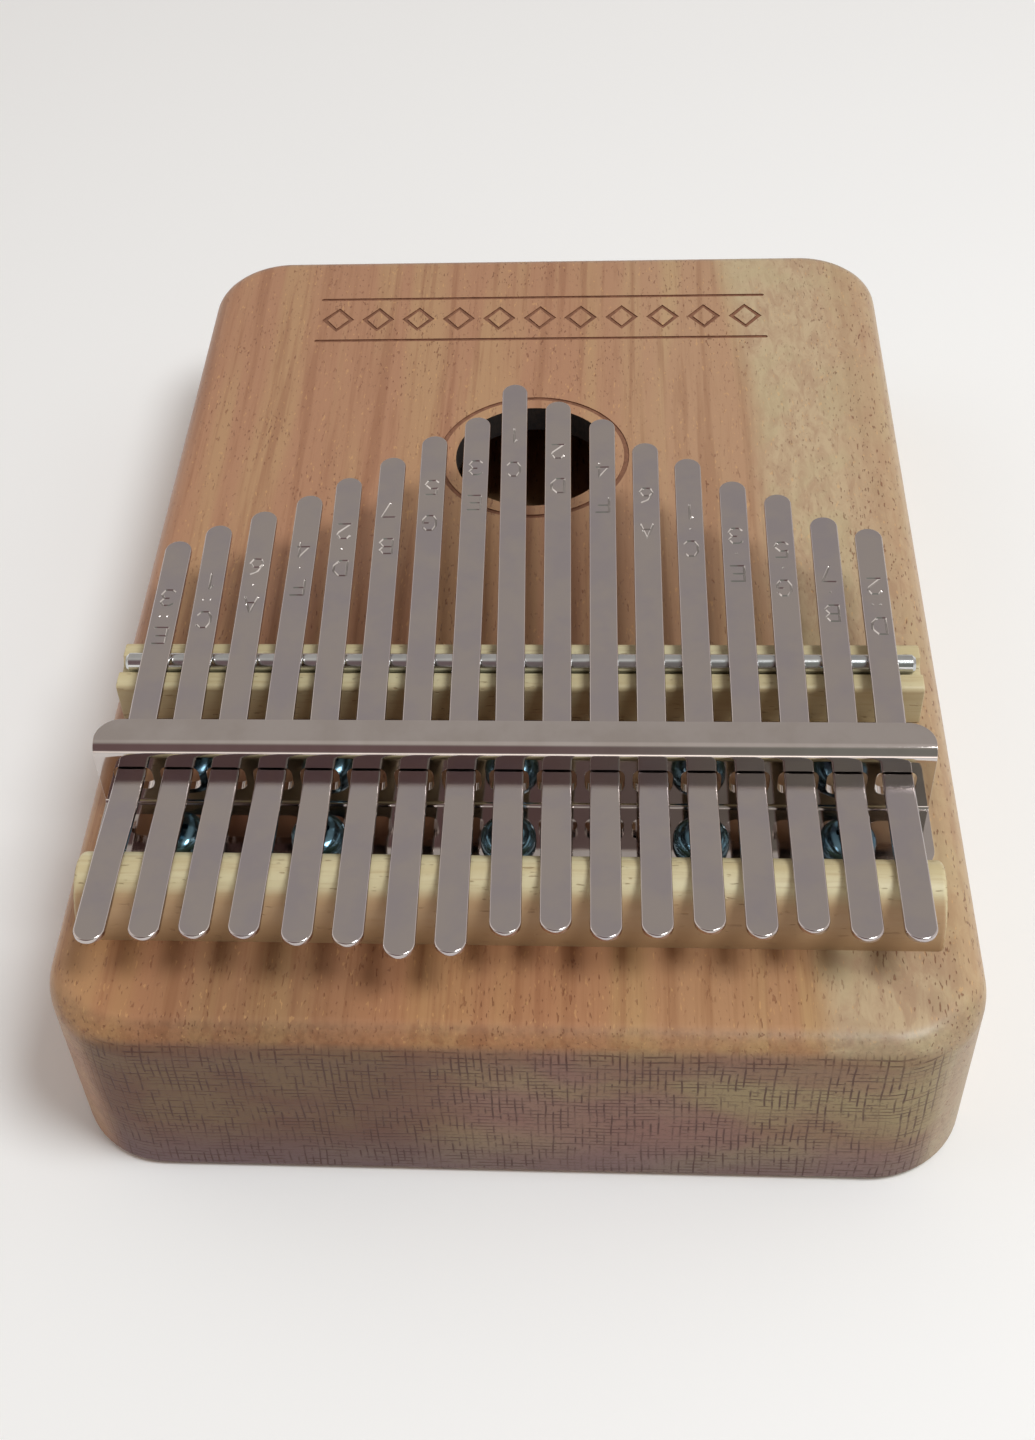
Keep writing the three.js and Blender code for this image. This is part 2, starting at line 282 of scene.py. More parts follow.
class Nodes:
    """Short names for the nodes of one shader tree."""

    def __init__(self, tree):
        self.tree = tree
        self.place = tree.nodes.new("ShaderNodeTexCoord")

    def plug(self, socket, value):
        if isinstance(value, bpy.types.NodeSocket):
            self.tree.links.new(value, socket)
        else:
            socket.default_value = value

    def vector(self, operation, a, b):
        node = self.tree.nodes.new("ShaderNodeVectorMath")
        node.operation = operation
        self.plug(node.inputs[0], a)
        self.plug(node.inputs[1], b)
        return node.outputs[0]

    def number(self, operation, a, b=0.0):
        node = self.tree.nodes.new("ShaderNodeMath")
        node.operation = operation
        self.plug(node.inputs[0], a)
        self.plug(node.inputs[1], b)
        return node.outputs[0]

    def part(self, vector, axis):
        node = self.tree.nodes.new("ShaderNodeSeparateXYZ")
        self.plug(node.inputs[0], vector)
        return node.outputs[axis]

    def whole(self, x, y, z):
        node = self.tree.nodes.new("ShaderNodeCombineXYZ")
        for socket, value in zip(node.inputs, (x, y, z)):
            self.plug(socket, value)
        return node.outputs[0]

    def times(self, a, b):
        return self.number("MULTIPLY", a, b)

    def plus(self, a, b):
        return self.number("ADD", a, b)

    def noise(self, place, detail=2.0, rough=0.5, bend=0.0):
        """Noise with one cell per unit of place."""
        node = self.tree.nodes.new("ShaderNodeTexNoise")
        self.plug(node.inputs["Vector"], place)
        node.inputs["Scale"].default_value = 1.0
        node.inputs["Detail"].default_value = detail
        node.inputs["Roughness"].default_value = rough
        node.inputs["Distortion"].default_value = bend
        return node.outputs["Fac"]

    def ease(self, value, low, high, to_low=0.0, to_high=1.0):
        """A smooth step of value from low to high."""
        node = self.tree.nodes.new("ShaderNodeMapRange")
        node.interpolation_type = "SMOOTHSTEP"
        self.plug(node.inputs["Value"], value)
        node.inputs["From Min"].default_value = low
        node.inputs["From Max"].default_value = high
        node.inputs["To Min"].default_value = to_low
        node.inputs["To Max"].default_value = to_high
        return node.outputs["Result"]

    def mix(self, share, a, b, mode="MIX"):
        node = self.tree.nodes.new("ShaderNodeMix")
        node.data_type = "RGBA"
        node.blend_type = mode
        self.plug(node.inputs[0], share)
        self.plug(node.inputs[6], a)
        self.plug(node.inputs[7], b)
        return node.outputs[2]


class Surface(Nodes):
    """A procedural material. Its lengths are in millimetres of the object's own space."""

    def __init__(self, name, roughness=0.5, metallic=0.0):
        self.material = bpy.data.materials.new(name)
        self.material.use_nodes = True
        super().__init__(self.material.node_tree)
        self.shader = self.tree.nodes["Principled BSDF"]
        self.shader.inputs["Roughness"].default_value = roughness
        self.shader.inputs["Metallic"].default_value = metallic
        self.mm = self.vector("MULTIPLY", self.place.outputs["Object"], (1000, 1000, 1000))
        self.normal = self.place.outputs["Normal"]

    def set(self, name, value):
        self.plug(self.shader.inputs[name], value)

    def grain(self, cells, detail=2.0, rough=0.5, bend=0.0):
        """Noise with so many cells per millimetre along each axis."""
        return self.noise(self.vector("MULTIPLY", self.mm, cells), detail, rough, bend)

    def bump(self, height, depth):
        """Sets relief so many metres deep."""
        node = self.tree.nodes.new("ShaderNodeBump")
        node.inputs["Distance"].default_value = depth
        self.plug(node.inputs["Height"], height)
        self.set("Normal", node.outputs["Normal"])


# ------------------------------------------------------------------ wood

def long_grain(s, x, y):
    """Golden and pink bands with fine streaks, richer at the near end."""
    band = s.grain((0.13, 0.007, 0.13), 2, 0.5, 0.3)
    streak = s.grain((0.42, 0.012, 0.42), 3, 0.6, 0.3)
    fine = s.grain((1.5, 0.055, 1.5), 3, 0.65)
    colour = s.mix(s.ease(band, 0.4, 0.6), srgb(174, 130, 101), srgb(179, 141, 106))
    colour = s.mix(s.ease(streak, 0.48, 0.66, 0, 0.6), colour, srgb(152, 107, 80))
    colour = s.mix(s.ease(fine, 0.5, 0.78, 0, 0.4), colour, srgb(144, 98, 70))
    colour = s.mix(s.ease(y, -20, -92, 0, 0.6), colour, (1.0, 0.88, 0.68, 1), "MULTIPLY")
    # painted shade: darker toward the left of the near end, where less light falls
    painted_shade_left_front = s.times(s.times(s.ease(x, -12, -30), s.ease(x, -58, -40)), s.ease(y, -30, -90))
    colour = s.mix(painted_shade_left_front, colour, (0.8, 0.84, 0.88, 1), "MULTIPLY")
    # paler toward the sapwood
    return s.mix(s.ease(x, 4, 28), colour, (1.06, 1.2, 1.23, 1), "MULTIPLY"), fine


def sapwood(s, x, y, colour):
    """Lays the pale, mottled strip on the right over the long grain."""
    wander = s.grain((0.03, 0.012, 0.03), 2)
    edge = s.plus(s.plus(x, s.times(y, 0.041)), s.times(s.number("SUBTRACT", wander, 0.5), 9))
    sap = s.times(s.ease(edge, 37, 43), s.ease(edge, 53, 64, 1, 0.5))
    fleck = s.grain((0.5, 0.16, 0.5), 4, 0.7, 0.8)
    pale = s.mix(s.ease(fleck, 0.36, 0.66), srgb(192, 170, 138), srgb(176, 148, 120))
    patch = s.grain((0.09, 0.05, 0.09), 3, 0.6, 0.5)
    pale = s.mix(s.ease(patch, 0.46, 0.62, 0, 0.5), pale, srgb(186, 172, 136))
    # soft ripple across the grain, strongest at the near end
    slant = s.whole(s.plus(s.times(x, 0.1), s.times(y, 0.16)), s.times(x, 0.03), 0)
    ripple = s.times(s.ease(s.noise(slant, 2), 0.45, 0.62, 0, 0.4), s.ease(y, 0, -60))
    pale = s.mix(ripple, pale, srgb(166, 138, 112))
    return s.mix(sap, colour, pale)


def threads(s, along, across, pitch, seed):
    """Short fine dashes in wandering rows, like the threads of a cloth."""
    wander = s.times(s.grain((0.08, 0.08, 0.08), 2), 1.3)
    phase = s.plus(s.times(across, 1 / pitch), wander)
    off_line = s.number("ABSOLUTE", s.number("SUBTRACT", s.number("FRACT", phase), 0.5))
    line = s.ease(off_line, 0.05, 0.18, 1, 0)
    # every row starts and stops at its own places
    spot = s.whole(s.times(along, 0.26), s.times(s.number("FLOOR", phase), 5.3), seed)
    return s.times(line, s.ease(s.noise(spot, 3, 0.6), 0.42, 0.54))


def end_grain(s, x, z):
    """Clouded grey-brown with a cloth-like net of dashes. Returns the colour and the net."""
    cloud = s.grain((0.05, 0.05, 0.09), 3, 0.6)
    colour = s.mix(s.ease(cloud, 0.38, 0.62), srgb(132, 100, 78), srgb(143, 122, 90))
    blush = s.grain((0.03, 0.03, 0.05), 2, 0.5, 0.4)
    colour = s.mix(s.ease(blush, 0.46, 0.64, 0, 0.7), colour, srgb(136, 98, 92))
    # painted shade toward the left of the face and painted light toward its right, more so higher up, as the
    # light falls from the right
    colour = s.mix(s.ease(x, -1, -20), colour, (0.62, 0.52, 0.5, 1), "MULTIPLY")
    bright = s.times(s.ease(x, 10, 60), s.ease(z, 8, 27, 0.4, 1))
    colour = s.mix(bright, colour, (1.24, 1.4, 1.34, 1), "MULTIPLY")
    colour = s.mix(s.ease(z, 13, 0, 0, 0.6), colour, srgb(110, 92, 100))
    colour = s.mix(s.ease(z, 23, 32, 0, 0.35), colour, srgb(116, 87, 72))
    net = s.number("MAXIMUM", threads(s, x, z, 0.85, 3.7), threads(s, z, x, 1.05, 8.1))
    net = s.times(net, s.ease(s.grain((0.2, 0.2, 0.25), 2, 0.6), 0.32, 0.6, 0.25, 1))
    colour = s.mix(s.times(net, 0.85), colour, srgb(78, 44, 36))
    speck = s.grain((1.6, 1.6, 1.6), 2, 0.7)
    return s.mix(s.ease(speck, 0.48, 0.72, 0, 0.35), colour, srgb(94, 72, 60)), net


def block_wood():
    """Varnished mahogany: long grain on the faces and sides, end grain at both ends."""
    s = Surface("block_wood")
    x = s.part(s.mm, 0)
    y = s.part(s.mm, 1)
    z = s.part(s.mm, 2)
    colour, fine = long_grain(s, x, y)
    colour = sapwood(s, x, y, colour)
    # pores: short reddish dashes; below them, a few bright golden dashes of painted glint
    crowd = s.ease(s.grain((0.06, 0.035, 0.06), 2), 0.36, 0.68, 0.35, 1)
    crowd = s.number("MAXIMUM", crowd, s.ease(x, 46, 60))
    pores = s.times(s.ease(s.grain((2.8, 0.7, 2.8), 1, 0.5), 0.655, 0.72), crowd)
    colour = s.mix(s.times(pores, 0.62), colour, srgb(122, 70, 46))
    # painted glint: sparse bright golden dashes
    painted_glint = s.vector("ADD", s.mm, (40, 0, 0))
    painted_glint = s.ease(s.noise(s.vector("MULTIPLY", painted_glint, (2.2, 0.6, 2.2)), 1), 0.68, 0.74)
    colour = s.mix(s.times(painted_glint, 0.3), colour, srgb(222, 176, 118))
    # the rounded edge cuts across the grain, so it drinks more stain
    turned = s.number("ABSOLUTE", s.part(s.normal, 1))
    stain = s.ease(s.grain((1.2, 1.2, 1.2), 3, 0.7), 0.35, 0.7, 0.5, 1)
    colour = s.mix(s.times(s.ease(turned, 0.12, 0.4), stain), colour, (0.72, 0.74, 0.74, 1), "MULTIPLY")
    end, net = end_grain(s, x, z)
    at_end = s.ease(turned, 0.72, 0.95)
    s.set("Base Color", s.mix(at_end, colour, end))
    s.set("Roughness", s.ease(at_end, 0, 1, 0.4, 0.6))
    dents = s.plus(pores, s.times(net, at_end))
    s.bump(s.number("SUBTRACT", s.times(fine, 0.3), dents), 0.0001)
    s.shader.inputs["Specular IOR Level"].default_value = 0.3
    s.shader.inputs["Coat Weight"].default_value = 0.12
    s.shader.inputs["Coat Roughness"].default_value = 0.2
    return s.material


def burnt_wood(name, dark, light, roughness):
    s = Surface(name, roughness)
    soot = s.grain((0.9, 0.9, 0.9), 3, 0.7)
    s.set("Base Color", s.mix(s.ease(soot, 0.35, 0.7), dark, light))
    s.bump(s.grain((2.5, 2.5, 0.5), 2), 0.0001)
    return s.material


def pale_wood(name, slope_shade):
    """Pale hardwood with its grain along X, browner on its near slope by the given share: partly the wood's
    tone, partly painted shade and painted warm reflection.
    """
    s = Surface(name)
    broad = s.grain((0.012, 0.16, 0.16), 3, 0.6)
    fine = s.grain((0.07, 1.5, 1.5), 3, 0.65)
    colour = s.mix(s.ease(broad, 0.35, 0.65), srgb(212, 203, 166), srgb(198, 183, 142))
    colour = s.mix(s.ease(fine, 0.48, 0.78, 0, 0.5), colour, srgb(174, 150, 110))
    ray = s.ease(s.grain((0.45, 2.4, 2.4), 1), 0.68, 0.74)
    colour = s.mix(s.times(ray, 0.5), colour, srgb(140, 108, 70))
    ring = s.grain((1.2, 1.2, 1.2), 2, 0.6)
    end = s.mix(s.ease(ring, 0.4, 0.65), srgb(190, 170, 124), srgb(158, 132, 92))
    # painted shade and warm reflection, with some of the wood's own tone, on the slope that faces the near
    # end
    slope = s.ease(s.part(s.normal, 1), -0.52, -0.84, 0, slope_shade)
    colour = s.mix(slope, colour, srgb(172, 138, 102))
    at_end = s.ease(s.number("ABSOLUTE", s.part(s.normal, 0)), 0.6, 0.9)
    s.set("Base Color", s.mix(at_end, colour, end))
    s.set("Roughness", s.ease(fine, 0.3, 0.8, 0.42, 0.6))
    s.bump(s.number("SUBTRACT", s.times(fine, 0.4), ray), 0.00008)
    return s.material


def panel_wood():
    """Thin rotary-cut ply with its grain along Y and its layers showing at the edges."""
    s = Surface("panel_wood")
    broad = s.grain((0.03, 0.005, 0.03), 3, 0.6, 0.6)
    bands = s.grain((0.16, 0.012, 0.16), 3, 0.6, 1.2)
    fine = s.grain((1.3, 0.06, 1.3), 3, 0.65)
    colour = s.mix(s.ease(broad, 0.35, 0.65), srgb(196, 160, 118), srgb(184, 142, 100))
    colour = s.mix(s.ease(bands, 0.45, 0.7, 0, 0.6), colour, srgb(166, 120, 82))
    colour = s.mix(s.ease(fine, 0.5, 0.8, 0, 0.5), colour, srgb(146, 102, 70))
    pore = s.ease(s.grain((3.0, 0.28, 3.0), 1), 0.66, 0.73)
    colour = s.mix(s.times(pore, 0.6), colour, srgb(104, 68, 46))
    height = s.part(s.mm, 2)
    core = s.times(s.ease(height, 0.7, 0.9), s.ease(height, 1.6, 1.8, 1, 0))
    edge = s.mix(core, colour, srgb(132, 92, 64))
    upright = s.ease(s.number("ABSOLUTE", s.part(s.normal, 2)), 0.3, 0.7, 1, 0)
    s.set("Base Color", s.mix(upright, colour, edge))
    s.set("Roughness", s.ease(fine, 0.3, 0.8, 0.5, 0.68))
    s.bump(s.number("SUBTRACT", s.times(fine, 0.4), pore), 0.0001)
    return s.material


# ------------------------------------------------------------------ metal

def metal(name, colour, stained, roughness, spread, grain_scale, grain_depth):
    """Metal with a fine drawn grain, faint stains and uneven polish."""
    s = Surface(name, roughness, 1.0)
    stain = s.grain((0.12, 0.12, 0.12), 3, 0.6)
    grain = s.grain(grain_scale, 3, 0.6)
    s.set("Base Color", s.mix(s.ease(stain, 0.35, 0.7), colour, stained))
    polish = s.plus(s.times(grain, 0.5), s.times(stain, 0.5))
    s.set("Roughness", s.ease(polish, 0.3, 0.7, roughness - spread, roughness + spread))
    s.bump(grain, grain_depth)
    return s.material


wood = block_wood()
# painted shade: near-black walls for the sound hole, standing for the darkness inside it
hole_wall_shade = burnt_wood("hole_wall_painted_shade", srgb(30, 25, 24), srgb(48, 38, 33), 0.85)
engraved = burnt_wood("engraved_wood", srgb(124, 84, 62), srgb(144, 100, 76), 0.75)
inside = burnt_wood("inside_wood", srgb(150, 112, 78), srgb(172, 134, 98), 0.8)
# both bars get the browner near slope of painted shade, the backrest much more than the bridge
bridge_wood = pale_wood("pale_hardwood", 0.25)
backrest_wood = pale_wood("pale_hardwood_shaded_slope", 0.9)
ply = panel_wood()
rod_steel = metal("bright_rod_steel", srgb(218, 221, 222), srgb(190, 194, 196), 0.17, 0.05,
                  (0.05, 4, 4), 0.00001)
chrome = metal("plate_chrome", srgb(210, 203, 200), srgb(202, 194, 190), 0.06, 0.02,
               (0.5, 0.5, 0.5), 0.000003)
nickel = metal("key_nickel", srgb(199, 191, 188), srgb(191, 184, 188), 0.13, 0.03,
               (3, 3, 3), 0.000004)
stamped = metal("stamped_nickel", srgb(216, 212, 210), srgb(190, 186, 184), 0.12, 0.05,
                (2, 2, 2), 0.00001)
zinc = metal("blue_zinc", srgb(108, 142, 158), srgb(76, 106, 126), 0.18, 0.06,
             (1.5, 1.5, 1.5), 0.00002)


# ------------------------------------------------------------------ wood block

BLOCK_CORNER = 14.5 * MM
BLOCK_TOP_ROUND = 4.5 * MM
BLOCK_LOW_ROUND = 1 * MM
WALL = 10 * MM
DECK = 5 * MM
HOLLOW_CORNER = 9 * MM
THICK_ZONE = 14 * MM        # thickness left under the bridge, plate and backrest
THICK_ZONE_END = -20 * MM
REBATE_CORNER = 13 * MM
ENGRAVE_DEPTH = 0.25 * MM
SCREW_COUNT = 5
SHANK_RADIUS = 1.5 * MM
SHANK_HOLE_SIDES = 24

SOUND_HOLE = (0, 30 * MM)
SOUND_HOLE_RADIUS = 14 * MM
SOUND_HOLE_SIDES = 72
RING_INNER = 16.4 * MM
RING_OUTER = 17.3 * MM

BORDER_Y = 73 * MM
BORDER_PITCH = 8 * MM
BORDER_EACH_SIDE = 5
BORDER_LINE_Y = 7 * MM
BORDER_LINE_HALF = 44 * MM
BORDER_LINE_WIDTH = 0.8 * MM
LOZENGE_HALF = (3.2 * MM, 4 * MM)
LOZENGE_STROKE = 1.1 * MM


def milled_block():
    """The block with its stepped hollow and the rebate for the back panel."""
    width = block_high.x - block_low.x
    length = block_high.y - block_low.y
    body = rounded_block("body_block", width, length, block_low.z, deck_z,
                         BLOCK_CORNER, BLOCK_TOP_ROUND, BLOCK_LOW_ROUND)
    paint(body, wood)
    inner_width = width - 2 * WALL
    low_plan = round_rectangle(inner_width, length - 2 * WALL, HOLLOW_CORNER, 8)
    high_length = length / 2 - WALL - THICK_ZONE_END
    high_plan = round_rectangle(inner_width, high_length, HOLLOW_CORNER, 8)
    high_middle = (0, THICK_ZONE_END + high_length / 2)
    panel_low, panel_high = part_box("back_panel")
    rebate_width = panel_high.x - panel_low.x + 2 * gap
    rebate_length = panel_high.y - panel_low.y + 2 * gap
    rebate = round_rectangle(rebate_width, rebate_length, REBATE_CORNER, 10)
    below = block_low.z - WALL
    tools = [
        prism("low_hollow", low_plan, below, deck_z - THICK_ZONE),
        prism("high_hollow", high_plan, deck_z - THICK_ZONE - DECK, deck_z - DECK, high_middle),
        prism("rebate", rebate, below, panel_high.z),
    ]
    for tool in tools:
        cut(body, paint(tool, inside))
    return body


def cut_sound_hole(body):
    hole = circle(*SOUND_HOLE, SOUND_HOLE_RADIUS, SOUND_HOLE_SIDES)
    # the hole's walls take the near-black painted shade
    cut(body, paint(prism("sound_hole", hole, deck_z - DECK - MM, deck_z + MM), hole_wall_shade))


def ring_tool(x, y, half_width, half_height, stroke, sides):
    """A flat ring to engrave: round, or a lozenge when it has four sides."""
    points = []
    for z in (deck_z - ENGRAVE_DEPTH, deck_z + MM):
        for inset in (0, stroke):
            for side in range(sides):
                angle = 2 * math.pi * side / sides
                across = (half_width - inset) * math.cos(angle)
                along = (half_height - inset) * math.sin(angle)
                points.append((x + across, y + along, z))
    faces = []
    for i in range(sides):
        j = (i + 1) % sides
        faces.append([i, i + sides, j + sides, j])
        faces.append([2 * sides + i, 2 * sides + j, 3 * sides + j, 3 * sides + i])
        faces.append([i, j, 2 * sides + j, 2 * sides + i])
        faces.append([sides + j, sides + i, 3 * sides + i, 3 * sides + j])
    return paint(make_object("ring", points, faces), engraved)


def border_tools():
    """An even row of lozenges between two straight lines, the same to the left and the right."""
    tools = []
    for step in range(-BORDER_EACH_SIDE, BORDER_EACH_SIDE + 1):
        tools.append(ring_tool(step * BORDER_PITCH, BORDER_Y, *LOZENGE_HALF, LOZENGE_STROKE, 4))
    line = round_rectangle(2 * BORDER_LINE_HALF, BORDER_LINE_WIDTH, 0.39 * MM, 4)
    for side in (-1, 1):
        place = (0, BORDER_Y + side * BORDER_LINE_Y)
        tools.append(paint(prism("line", line, deck_z - ENGRAVE_DEPTH, deck_z + MM, place), engraved))
    return tools


def shank_hole(number):
    """The plan of the hole that a screw's shank passes through."""
    low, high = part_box(f"screw_{number}")
    return circle((low.x + high.x) / 2, (low.y + high.y) / 2, SHANK_RADIUS + gap, SHANK_HOLE_SIDES)


def pilot_tool(number):
    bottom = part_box(f"screw_{number}")[0].z
    return paint(prism("pilot", shank_hole(number), bottom - gap, deck_z + MM), inside)


def wood_block():
    body = milled_block()
    cut_sound_hole(body)
    cut(body, ring_tool(*SOUND_HOLE, RING_OUTER, RING_OUTER, RING_OUTER - RING_INNER, SOUND_HOLE_SIDES))
    for tool in border_tools():
        cut(body, tool)
    for number in range(1, SCREW_COUNT + 1):
        cut(body, pilot_tool(number))
    smooth(body, 30)
    place_piece(body, ROOT, ["body_shell"])


FINGER_HOLE_X = 30 * MM
FINGER_HOLE_Y = 10 * MM
FINGER_HOLE_RADIUS = 6 * MM


def back_panel():
    """The thin panel let into the underside, with its two finger holes."""
    low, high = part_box("back_panel")
    plan = round_rectangle(high.x - low.x, high.y - low.y, REBATE_CORNER, 14)
    panel = prism("back_panel_ply", plan, low.z, high.z)
    for side in (-1, 1):
        hole = circle(side * FINGER_HOLE_X, FINGER_HOLE_Y, FINGER_HOLE_RADIUS, 40)
        cut(panel, prism("hole", hole, low.z - MM, high.z + MM))
    ease_edges(panel, 0.35 * MM, 3)
    paint(panel, ply)
    smooth(panel, 40)
    place_piece(panel, ROOT, ["back_panel"])


# ------------------------------------------------------------------ bridge, rod and backrest

def bridge():
    """The base bar with the groove that the rod lies in."""
    low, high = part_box("bridge_base")
    rod_low, rod_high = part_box("saddle_rod")
    rod_y = (rod_low.y + rod_high.y) / 2
    rod_z = (rod_low.z + rod_high.z) / 2
    groove = (rod_high.y - rod_low.y) / 2 + gap
    drop = rod_z - high.z
    tilt = math.asin(drop / groove)
    section = [(low.y, low.z), (high.y, low.z)]
    ease = 0.9 * MM
    section += arc(high.y - ease, high.z - ease, ease, 0, QUARTER, 5)
    section += arc(rod_y, rod_z, groove, -tilt, -math.pi + tilt, 14)
    section += arc(low.y + ease, high.z - ease, ease, QUARTER, 2 * QUARTER, 5)
    bar = run_across("bridge_bar", section, low.x, high.x)
    ease_edges(bar, 0.3 * MM, 2, 50)
    paint(bar, bridge_wood)
    smooth(bar, 35)
    place_piece(bar, ROOT, ["bridge_base"])


def saddle_rod():
    """A bright rod with turned chamfers."""
    low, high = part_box("saddle_rod")
    radius = (high.z - low.z) / 2
    middle = (low + high) / 2
    half = (high.x - low.x) / 2
    chamfer = 0.45 * MM
    soft = 0.05 * MM
    nearly = radius - 0.08 * MM
    rows = 12
    profile = [(0, -half), (radius - chamfer, -half)]
    profile += [(nearly, -half + chamfer - soft), (radius, -half + chamfer + soft)]
    profile += [(radius, -half + 2 * half * step / rows) for step in range(1, rows)]
    profile += [(radius, half - chamfer - soft), (nearly, half - chamfer + soft)]
    profile += [(radius - chamfer, half), (0, half)]
    rod = lathe("saddle_rod_steel", profile, 40, (0, 0))
    for vertex in rod.data.vertices:
        x, y, z = vertex.co
        vertex.co = (z + middle.x, y + middle.y, -x + middle.z)
    paint(rod, rod_steel)
    smooth(rod, 30)
    place_piece(rod, ROOT, ["saddle_rod"])


def backrest():
    """The half-round bar that the tails rest on."""
    low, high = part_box("backrest")
    middle = (low.y + high.y) / 2
    half = (high.y - low.y) / 2
    height = high.z - low.z
    section = [(middle + half * math.cos(a), low.z + height * math.sin(a))
               for a in [math.pi * step / 40 for step in range(41)]]
    bar = run_across("backrest_bar", section, low.x, high.x, 0.7 * MM)
    for vertex in bar.data.vertices:
        vertex.co.z = max(vertex.co.z, low.z)
    paint(bar, backrest_wood)
    smooth(bar, 35)
    place_piece(bar, ROOT, ["backrest"])


# ------------------------------------------------------------------ pressure plate and screws

PLATE_THICKNESS = 1.5 * MM
PLATE_TOP_DEPTH = 5.8 * MM
PLATE_BEND = 2.2 * MM
PLATE_CORNER = 3.8 * MM
SLOT_WIDTH = 5.8 * MM
SLOT_BOTTOM = 4.5 * MM
SLOT_TOP = 9.4 * MM
SLOT_CORNER = 1.4 * MM

wall_near = plate_high.y - PLATE_TOP_DEPTH
slot_y = wall_near + PLATE_THICKNESS / 2
pluck_joints = {j["name"][:6]: j for j in frame["joints"] if j["name"].endswith("_pluck")}


def plate_section():
    outer = PLATE_BEND
    inner = PLATE_BEND - PLATE_THICKNESS
    wall_far = wall_near + PLATE_THICKNESS
    base = plate_low.z
    top = plate_high.z
    steps = 9
    section = [(plate_low.y, base)]
    section += arc(wall_far - outer, base + outer, outer, -QUARTER, 0, steps)
    section += arc(wall_far + inner, top - outer, inner, 2 * QUARTER, QUARTER, steps)
    section += [(plate_high.y, top - PLATE_THICKNESS), (plate_high.y, top)]
    section += arc(wall_near + outer, top - outer, outer, QUARTER, 2 * QUARTER, steps)
    section += arc(wall_near - inner, base + outer, inner, 0, -QUARTER, steps)
    section += [(plate_low.y, base + PLATE_THICKNESS)]
    return section


def trim_corners(plate):
    """Cuts the four plan corners of the folded plate round."""
    for side_x, edge_x in ((-1, plate_low.x), (1, plate_high.x)):
        for side_y, edge_y in ((-1, plate_low.y), (1, plate_high.y)):
            centre_x = edge_x - side_x * PLATE_CORNER
            centre_y = edge_y - side_y * PLATE_CORNER
            middle = math.atan2(side_y, side_x)
            round_part = arc(centre_x, centre_y, PLATE_CORNER, middle - QUARTER / 2, middle + QUARTER / 2, 12)
            beyond = 1 * MM
            corner_x = centre_x + side_x * (PLATE_CORNER + beyond)
            corner_y = centre_y + side_y * (PLATE_CORNER + beyond)
            first = round_part[0]
            last = round_part[-1]
            if side_x * side_y > 0:
                near = (first[0] + side_x * beyond, first[1])
                far = (last[0], last[1] + side_y * beyond)
            else:
                near = (first[0], first[1] + side_y * beyond)
                far = (last[0] + side_x * beyond, last[1])
            outline = [(corner_x, corner_y), far] + round_part[::-1] + [near]
            cut(plate, prism("corner", outline, plate_low.z - MM, plate_high.z + MM))


def key_x(number):
    """Where a key crosses the plate."""
    joint = pluck_joints[f"key_{number:02d}"]
    turn = joint["axis"]
    return joint["pos_m"][0] + (slot_y - joint["pos_m"][1]) * -turn[1] / turn[0]


def pressure_plate():
    section = plate_section()
    plate = run_across("pressure_plate_chrome", section, plate_low.x, plate_high.x)
    trim_corners(plate)
    slot_plan = round_rectangle(SLOT_WIDTH, SLOT_TOP - SLOT_BOTTOM, SLOT_CORNER, 5)
    slot_middle = deck_z + (SLOT_TOP + SLOT_BOTTOM) / 2
    for number in range(1, KEY_COUNT + 1):
        x = key_x(number)
        rings = [[(x - across, y, slot_middle + up) for across, up in slot_plan]
                 for y in (wall_near - MM, wall_near + PLATE_THICKNESS + MM)]
        cut(plate, loft("slot", rings))
    for number in range(1, SCREW_COUNT + 1):
        cut(plate, prism("hole", shank_hole(number), plate_low.z - MM, plate_low.z + 2 * PLATE_THICKNESS))
    ease_edges(plate, 0.3 * MM, 3, 50)
    paint(plate, chrome)
    smooth(plate, 35)
    place_piece(plate, ROOT, ["pressure_plate"])


THREAD_PITCH = 1.1 * MM
THREAD_TAPER = 3 * MM
THREAD_ROOT = 0.72          # this and the neck are shares of the shank's radius
SCREW_NECK = 0.8
HEAD_RIM = 0.25 * MM


def shank_profile(tip_z, under):
    """The pointed, threaded shank, from its tip up to the underside of the head."""
    profile = [(0, tip_z), (0.35 * SHANK_RADIUS, tip_z + 0.9 * MM)]
    z = tip_z + 1.6 * MM
    while z < under - 1.8 * MM:
        share = min(1, (z - tip_z) / THREAD_TAPER)
        profile.append((THREAD_ROOT * SHANK_RADIUS * share, z))
        profile.append((SHANK_RADIUS * share, z + 0.5 * THREAD_PITCH))
        z += THREAD_PITCH
    return profile + [(SCREW_NECK * SHANK_RADIUS, z), (SCREW_NECK * SHANK_RADIUS, under)]


def head_profile(radius, under, top):
    """The pan head, from its underside up to its middle."""
    rise = top - under
    steps = 10
    profile = [(radius - HEAD_RIM, under), (radius, under + HEAD_RIM)]
    for step in range(1, steps):
        angle = QUARTER * step / steps
        height = under + 0.3 * rise + 0.7 * rise * math.sin(angle)
        profile.append((radius * math.cos(angle) ** 0.8, height))
    return profile + [(0, top)]


def cross_recess(centre, top):
    """A tapering cross for the screw driver."""
    tools = []
    for turn in (0, QUARTER):
        rings = []
        for level, half_long, half_wide in ((-1.4, 0.9, 0.3), (0.3, 2.1, 0.5)):
            ring = []
            for across, along in ((-1, -1), (1, -1), (1, 1), (-1, 1)):
                x = across * half_long * MM
                y = along * half_wide * MM
                ring.append((centre[0] + x * math.cos(turn) - y * math.sin(turn),
                             centre[1] + x * math.sin(turn) + y * math.cos(turn), top + level * MM))
            rings.append(ring)
        tools.append(loft("arm", rings))
    return tools


